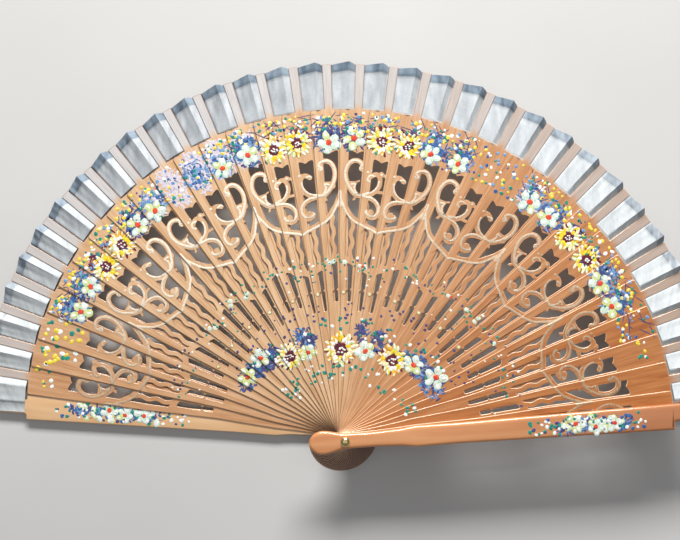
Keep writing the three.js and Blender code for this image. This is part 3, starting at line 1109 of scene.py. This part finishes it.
def round_flower(dabs, place, size, chance):
    """A ring of five round pale petals about a red centre."""
    start = chance.uniform(0, 2 * math.pi)
    for index in range(5):
        turn = start + index * 2 * math.pi / 5 + chance.uniform(-0.15, 0.15)
        spot = beside(place, size * chance.uniform(0.26, 0.34), turn)
        long, wide = size * chance.uniform(0.42, 0.52), size * chance.uniform(0.34, 0.44)
        lean = turn + chance.uniform(-0.5, 0.5)
        dab(dabs, chance.choice(("petal_mint", "petal_mint", "petal_green")), spot, long, wide, lean, 2)
        light = beside(spot, 0.06 * size, lean)
        dab(dabs, "white", light, long * chance.uniform(0.4, 0.7), wide * chance.uniform(0.3, 0.6), lean, 3)
    dab(dabs, "red", place, size * 0.3, size * 0.25, start, 4)


DAISY_STROKES = 15  # long strokes, with as many short ones between them
OUTER_YELLOWS = ("yellow", "cream", "gold", "petal_green")
INNER_YELLOWS = ("cream", "white", "yellow")


def daisy(dabs, place, size, chance):
    """Long yellow and white brush strokes about a maroon centre with white dots."""
    for index in range(14):
        turn = index * 2 * math.pi / 14 + chance.uniform(-0.2, 0.2)
        spot = beside(place, size * chance.uniform(0.26, 0.46), turn)
        long = size * chance.uniform(0.2, 0.34)
        dab(dabs, "maroon", spot, long, size * 0.1, turn + chance.uniform(-0.5, 0.5), 0)
    dab(dabs, "maroon", place, size * 0.5, size * 0.42, chance.random(), 1)
    for index in range(DAISY_STROKES * 2):
        outer = index % 2
        turn = (index + chance.uniform(-0.4, 0.4)) * math.pi / DAISY_STROKES
        spot = beside(place, size * chance.uniform(*((0.36, 0.45) if outer else (0.25, 0.33))), turn)
        lean = turn + chance.uniform(-0.7, 0.7)
        colour = chance.choice(OUTER_YELLOWS if outer else INNER_YELLOWS)
        long = size * chance.uniform(*((0.24, 0.34) if outer else (0.16, 0.26)))
        dab(dabs, colour, spot, long, size * chance.uniform(0.1, 0.17), lean, 2)
        if outer:
            light = beside(spot, 0.05 * size, turn)
            dab(dabs, "white", light, long * chance.uniform(0.4, 0.7), size * 0.06, lean, 3)
    for index in range(7):
        turn = index * math.pi / 3 + chance.uniform(-0.3, 0.3)
        spot = beside(place, size * chance.uniform(0.03, 0.14), turn)
        dab(dabs, "white", spot, size * 0.075, size * 0.06, 0, 4)


def patch(dabs, place, across, along, colours, chance, lean, count, layer=0):
    """Short dry-brush strokes, closest in the middle, that make a soft-edged patch of colour."""
    for index in range(count):
        away, turn = chance.random() ** 0.7, chance.uniform(0, 2 * math.pi)
        x, y = spun(across / 2 * away * math.cos(turn), along / 2 * away * math.sin(turn), lean)
        long, wide = chance.uniform(2.2, 4.8), chance.uniform(0.8, 3.4) * (1.1 - 0.75 * away)
        spot = place[0] + x, place[1] + y
        dab(dabs, colours[index % len(colours)], spot, long, wide, chance.uniform(0, math.pi), layer)


def sprinkle(dabs, turns, radii, colours, count, size, chance, layer):
    """Dots scattered over a stretch of the open fan, in the named colours in turn."""
    names = colours.split()
    for index in range(count):
        place = fan_place(chance.uniform(*turns), chance.uniform(*radii))
        long = size * chance.uniform(0.75, 1.3)
        colour = names[index % len(names)]
        lean = chance.uniform(0, math.pi)
        dab(dabs, colour, place, long, long * chance.uniform(0.7, 0.95), lean, layer)
        if colour == "yellow":
            dab(dabs, "cream", (place[0], place[1] + 0.15 * long), long * 0.45, long * 0.25, lean, layer + 1)


def cell_turn(number, radius):
    """The middle of what shows of a stick between its left edge and the next stick's."""
    return stick_turn(number) + float(edge_angle(radius)) - STICK_GAP / 2


TOP_ARC = (
    "few dots dots flower flower daisy daisy flower flower spare spare "
    "flower flower daisy daisy flower flower daisy daisy flower flower spare spare "
    "flower flower daisy daisy flower flower spare few none"
).split()
BLUES = ["blue", "blue", "sky", "violet"]
SKIES = ["sky", "sky", "blue", "lilac"]
VIOLETS = ["violet", "violet", "blue"]
MAROONS = ["maroon", "maroon", "violet"]
TOP_PATCHES = {
    4: BLUES, 5: BLUES, 8: VIOLETS, 9: SKIES, 11: SKIES, 12: SKIES, 13: BLUES, 16: VIOLETS, 17: VIOLETS,
    20: BLUES, 21: BLUES, 24: SKIES, 25: BLUES, 28: BLUES, 29: BLUES,
}
# these sticks get a pale lilac wash: partly painted reflection of the window on their varnish, partly pale
# paint
REFLECTION_WASH_STICKS = (10, 11, 12, 13)
SCRIBBLED_STICKS = (4, 5, *range(13, 22), 24, 28, 29, 30)
TOP_RADIUS = 165.0
CELL_TURNS = 2.5  # degrees on each side of a cell's middle
# for each subject, the radii that its dots lie between, their colours, count and size
TOP_DOTS = {
    "flower": [
        ((170, 181), "yellow teal yellow white sky", 22, 2.1), ((158, 180), "teal white violet", 13, 1.4),
    ],
    "spare": [((160, 181), "yellow teal white sky blue", 24, 1.9)],
    "dots": [((158, 179), "yellow yellow teal white", 20, 2.7)],
    "few": [((168, 179), "yellow teal white", 8, 2.2)],
    "none": [],
}
TOP_DOTS["daisy"] = TOP_DOTS["flower"]


def scribble(dabs, turns, lean, chance):
    """Long thin strokes between the dots, mostly across the sticks."""
    for _ in range(11):
        spot = fan_place(chance.uniform(*turns), chance.uniform(167, 180))
        dab(dabs, "violet", spot, chance.uniform(4, 9), 0.55, lean + chance.uniform(-1, 1), 1)


def paint_top_arc(dabs, chance):
    """The arc of flowers across the blades, with one subject on each stick."""
    for number, subject in enumerate(TOP_ARC, 1):
        turn = cell_turn(number, TOP_RADIUS)
        lean = math.radians(turn)
        turns = turn - CELL_TURNS, turn + CELL_TURNS
        place = fan_place(turn + chance.uniform(-0.5, 0.5), TOP_RADIUS + chance.uniform(-1, 1.5))
        # painted reflection, partly pale paint: the pale lilac wash on these sticks
        if number in REFLECTION_WASH_STICKS:
            patch(dabs, fan_place(turn, TOP_RADIUS + 4), 15, 26, ["lilac"], chance, lean, 170)
        if number in TOP_PATCHES:
            patch(dabs, fan_place(turn, TOP_RADIUS + 3), 16, 18, TOP_PATCHES[number], chance, lean, 110, 1)
        if subject == "flower":
            round_flower(dabs, place, chance.uniform(11.5, 13), chance)
        if subject == "daisy":
            patch(dabs, fan_place(turn, TOP_RADIUS + 6), 11, 8, MAROONS, chance, lean, 26)
            daisy(dabs, place, chance.uniform(14, 15.5), chance)
        for radii, colours, count, size in TOP_DOTS[subject]:
            sprinkle(dabs, turns, radii, colours, count, size, chance, 2)
        if number in SCRIBBLED_STICKS:
            scribble(dabs, turns, lean, chance)


GARLAND_FLOWERS = [  # turn, radius and size
    (60.2, 63.5, 11), (48, 64, 11), (23.7, 51, 10), (-13.2, 49.5, 11.5), (-42.8, 56, 11.5),
    (-55.5, 61, 12.5),
]
GARLAND_DAISIES = [(35.2, 54, 15), (2.7, 49, 18), (-31, 51, 16)]
GARLAND_PATCHES = [  # turn, radius, width and paints
    (57, 62, 24, VIOLETS), (45, 60, 18, VIOLETS), (24, 60, 8, BLUES), (20, 58, 8, VIOLETS),
    (-9, 60, 8, VIOLETS), (-19, 57, 10, VIOLETS), (-43, 57, 18, BLUES), (-56, 57, 22, BLUES),
]
# the turns and radii that the garland's dots lie between, their colours, count, size and layer
GARLAND_DOTS = [
    ((-68, 62), (32, 43), "teal teal white", 64, 2.0, 2),
    ((-62, 60), (56, 68), "teal white teal violet", 84, 1.9, 2),
    ((-66, 62), (66, 78), "violet", 80, 1.5, 1),
]
GARLAND_DEPTH = 13


def paint_garland(dabs, chance):
    """The lower arc of flowers, on blue and violet patches and among dots."""
    for turn, radius, across, colours in GARLAND_PATCHES:
        place, count = fan_place(turn, radius), round(across * 4.6)
        patch(dabs, place, across, GARLAND_DEPTH, colours, chance, math.radians(turn), count)
    for turn, radius, size in GARLAND_FLOWERS:
        round_flower(dabs, fan_place(turn, radius), size, chance)
    for turn, radius, size in GARLAND_DAISIES:
        daisy(dabs, fan_place(turn, radius), size, chance)
    for turns, radii, colours, count, size, layer in GARLAND_DOTS:
        sprinkle(dabs, turns, radii, colours, count, size, chance, layer)


STUD_RADIUS = 81.0
STUD_INSET = 1.3  # degrees from a stick's left edge to the putty dot on it
BAND_RADIUS = 97
BAND_STICKS = (7, 9, 10, 16, 17, 18, 24, 25, 26, 28)
BAND_TURNS = (-80, 82)


def paint_cross_band(dabs, chance):
    """Small flowers and dots across the solid band, and a putty dot on every second stick."""
    for number in BAND_STICKS:
        turn = cell_turn(number, BAND_RADIUS) + chance.uniform(-0.6, 0.6)
        place = fan_place(turn, BAND_RADIUS + chance.uniform(-1, 1.5))
        for index in range(3):
            lean = chance.uniform(0, math.pi)
            dab(dabs, "petal_mint", beside(place, 1.6, lean + index * 2), 3.0, 2.2, lean, 1)
        dab(dabs, "red", place, 2.0, 1.7, 0, 2)
    sprinkle(dabs, BAND_TURNS, (92, 103), "teal white violet teal", 260, 1.5, chance, 1)
    sprinkle(dabs, BAND_TURNS, (84, 92), "teal violet white", 70, 1.2, chance, 1)
    for number in range(5, STICK_COUNT - 4, 2):
        turn = stick_turn(number) + float(edge_angle(STUD_RADIUS)) - STUD_INSET
        place = fan_place(turn, STUD_RADIUS)
        dab(dabs, "putty", place, 2.7, 2.7, 0, 1)
        dab(dabs, "cream", place, 1.7, 1.7, 0, 2)


def clipped(polygon, start, end):
    """What lies on the right of the line from start to end."""
    run = end - start
    sides = (polygon[:, 0] - start[0]) * run[1] - (polygon[:, 1] - start[1]) * run[0]
    result = []
    for index in range(len(polygon)):
        here, there = polygon[index], polygon[(index + 1) % len(polygon)]
        side, other = sides[index], sides[(index + 1) % len(polygon)]
        if side >= 0:
            result.append(here)
        if (side >= 0) != (other >= 0):
            result.append(here + (there - here) * side / (side - other))
    return np.array(result)


def edge_line(number, radius):
    """Two points on the left edge of a stick, or of the front guard, on both sides of a radius."""
    points = []
    for reach in (radius - 5, radius + 5):
        if number > STICK_COUNT:
            places, halves = zip(*GUARD_PROFILE)
            edge = math.degrees(math.asin(np.interp(reach, places, halves) / reach))
        else:
            edge = float(edge_angle(reach))
        points.append(np.array(fan_place(rib_turn(number) + edge, reach)))
    return points


def wood_margin(fields, number, place):
    """How far a place on the open fan lies inside the solid wood of this stick."""
    x, y = spun(*place, -math.radians(stick_turn(number)))
    column = min(max(round((x - GRID_X[0]) / STEP), 0), len(GRID_X) - 1)
    row = min(max(round((y - GRID_Y[0]) / STEP), 0), len(GRID_Y) - 1)
    return fields[stick_kind(number)][row, column]


def ellipse(place, length, width, lean):
    turns = np.linspace(0, 2 * math.pi, 12, endpoint=False)
    x, y = spun(length / 2 * np.cos(turns), width / 2 * np.sin(turns), lean)
    return np.column_stack([place[0] + x, place[1] + y])


def dome(polygon, low, high):
    """A low mound of paint on a convex outline."""
    count = len(polygon)
    middle = polygon.mean(axis=0)
    rings = []
    for drawn_in, rise in ((0, 0), (0.04, 0.6), (0.2, 1)):
        ring = polygon + (middle - polygon) * drawn_in
        rings.append(np.column_stack([ring, np.full(count, low + (high - low) * rise)]))
    faces = [tuple(reversed(range(count)))] + wall(0, count, count) + wall(count, 2 * count, count)
    top = 3 * count
    faces += [(2 * count + index, 2 * count + (index + 1) % count, top) for index in range(count)]
    return np.vstack([*rings, [(*middle, high)]]), faces


PAINT_SINK = 0.02  # how far a dab reaches into the wood


def paint_piece(body, shapes, paints):
    """One mesh of all the dabs on a body, from (paint, outline, layer)."""
    surface = height(body, 1)
    colours = sorted({colour for colour, _, _ in shapes})
    built = []
    for order, (colour, outline, layer) in enumerate(shapes):
        spread = LAYER_SPREAD * (order % SPREAD_STEPS) / SPREAD_STEPS
        lift = LAYERS[min(layer, len(LAYERS) - 1)] + spread
        points, faces = dome(outline, surface - PAINT_SINK, surface + lift)
        built.append((points, faces, [colours.index(colour)] * len(faces)))
    points, faces, which = joined(built)
    materials = [paints[colour] for colour in colours]
    piece = make_object("painting_" + body, points, faces, materials, which, crease=70)
    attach(piece, body)


SMALLEST_DAB = 0.08  # square millimetres


def between_edges(outline, number, radius):
    """What of an outline lies on what shows of this stick, or None."""
    start, end = edge_line(number, radius)
    outline = clipped(outline, start, end)
    if len(outline) < 3:
        return None
    start, end = edge_line(number + 1, radius)
    outline = clipped(outline, end, start)
    if len(outline) < 3 or area_of(outline) < SMALLEST_DAB:
        return None
    return outline


def paint_sticks(dabs, fields, paints):
    """Cuts every dab at the sticks' edges and gives each stick the pieces that lie on its wood."""
    shapes = {number: [] for number in range(1, STICK_COUNT + 1)}
    for colour, x, y, length, width, lean, layer in dabs:
        radius = math.hypot(x, y)
        if radius + width / 2 > SHOULDER_RADIUS - 0.8:
            continue
        turn = math.degrees(math.atan2(-x, y))
        guess = int((stick_turn(1) + float(edge_angle(radius)) - turn) // STICK_GAP) + 1
        for number in range(max(guess - 1, 1), min(guess + 1, STICK_COUNT) + 1):
            outline = between_edges(ellipse((x, y), length, width, lean), number, radius)
            if outline is None:
                continue
            if wood_margin(fields, number, outline.mean(axis=0)) > 0.4 * min(width, 2.0):
                shapes[number].append((colour, outline, layer))
    for number, kept in shapes.items():
        if kept:
            paint_piece(STICKS[number - 1], kept, paints)


GUARD_FLOWERS = {
    "back_guard": [(1.6, 135.0, 10.5), (-0.6, 126.0, 9.5), (-0.2, 115.0, 9.5)],
    "front_guard": [(-0.6, 127.0, 11.0), (1.8, 138.0, 9.5), (0.5, 148.5, 9.5)],
}
GUARD_DAB_START = {"back_guard": 101, "front_guard": 113}
GUARD_DAB_END = 166
GUARD_DOT_COLOURS = ("teal", "white", "violet", "teal", "blue", "white")


def guard_dabs(node, chance):
    """Dabs on a guard as if it pointed straight up."""
    dabs = []
    near, far = GUARD_DAB_START[node], GUARD_DAB_END
    for along in np.linspace(near + 8, far - 14, 7):
        patch(dabs, (chance.uniform(-1, 1.5), along), 8, 12, BLUES, chance, 0, 22)
    for across, along, size in GUARD_FLOWERS[node]:
        round_flower(dabs, (across, along), size, chance)
    for index in range(18):
        along, across = chance.uniform(near + 6, far - 10), chance.uniform(-4, 4)
        long, lean = chance.uniform(3.4, 5.2), chance.random()
        colour = ("petal_mint", "petal_green")[index % 2]
        dab(dabs, colour, (across, along), long, long * 0.75, lean, 1)
        dab(dabs, "white", (across + 0.3, along), long * 0.6, long * 0.4, lean, 2)
    for index in range(90):
        along, across = chance.uniform(near - 12, far), chance.uniform(-4.6, 4.6)
        size = chance.uniform(1.5, 2.7)
        colour = GUARD_DOT_COLOURS[index % len(GUARD_DOT_COLOURS)]
        dab(dabs, colour, (across, along), size, size * 0.8, chance.uniform(0, 3), 2)
    return dabs


def paint_guard(node, chance, paints):
    """The guard's own dabs. On the back guard they end where the first stick covers it."""
    angle = math.radians(GUARD_TURN[node])
    shapes = []
    for colour, x, y, length, width, lean, layer in guard_dabs(node, chance):
        outline = ellipse(spun(x, y, angle), length, width, lean + angle)
        if node == "back_guard":
            start, end = edge_line(1, y)
            outline = clipped(outline, end, start)
        if len(outline) >= 3 and area_of(outline) > SMALLEST_DAB:
            shapes.append((colour, outline, layer))
    paint_piece(node, shapes, paints)


def make_painting(fields):
    chance = random.Random(21)
    paints = {name: paint(name, light, dark) for name, (light, dark) in PAINTS.items()}
    dabs = []
    paint_top_arc(dabs, chance)
    paint_garland(dabs, chance)
    paint_cross_band(dabs, chance)
    paint_sticks(dabs, fields, paints)
    for node in GUARD_TURN:
        paint_guard(node, chance, paints)


# ---- build ----
FLOOR_REACH = 3000.0


def make_floor():
    level = height("rivet", 0) - 0.1
    corners = [(x * FLOOR_REACH, y * FLOOR_REACH, level) for x, y in ((-1, -1), (1, -1), (1, 1), (-1, 1))]
    make_object("floor", np.array(corners), [(0, 1, 2, 3)], [floor_material()])


make_camera()
make_lights()
make_floor()
wood_fields = {kind: wood_field(kind) for kind in TYPES}
make_sticks(stick_plates(wood_fields), [stick_wood(), edge_wood()])
make_trim(trim_plates(wood_fields), trim_paint())
make_guards(guard_wood())
make_rivet(brass())
make_leaf(leaf_cotton())
make_painting(wood_fields)
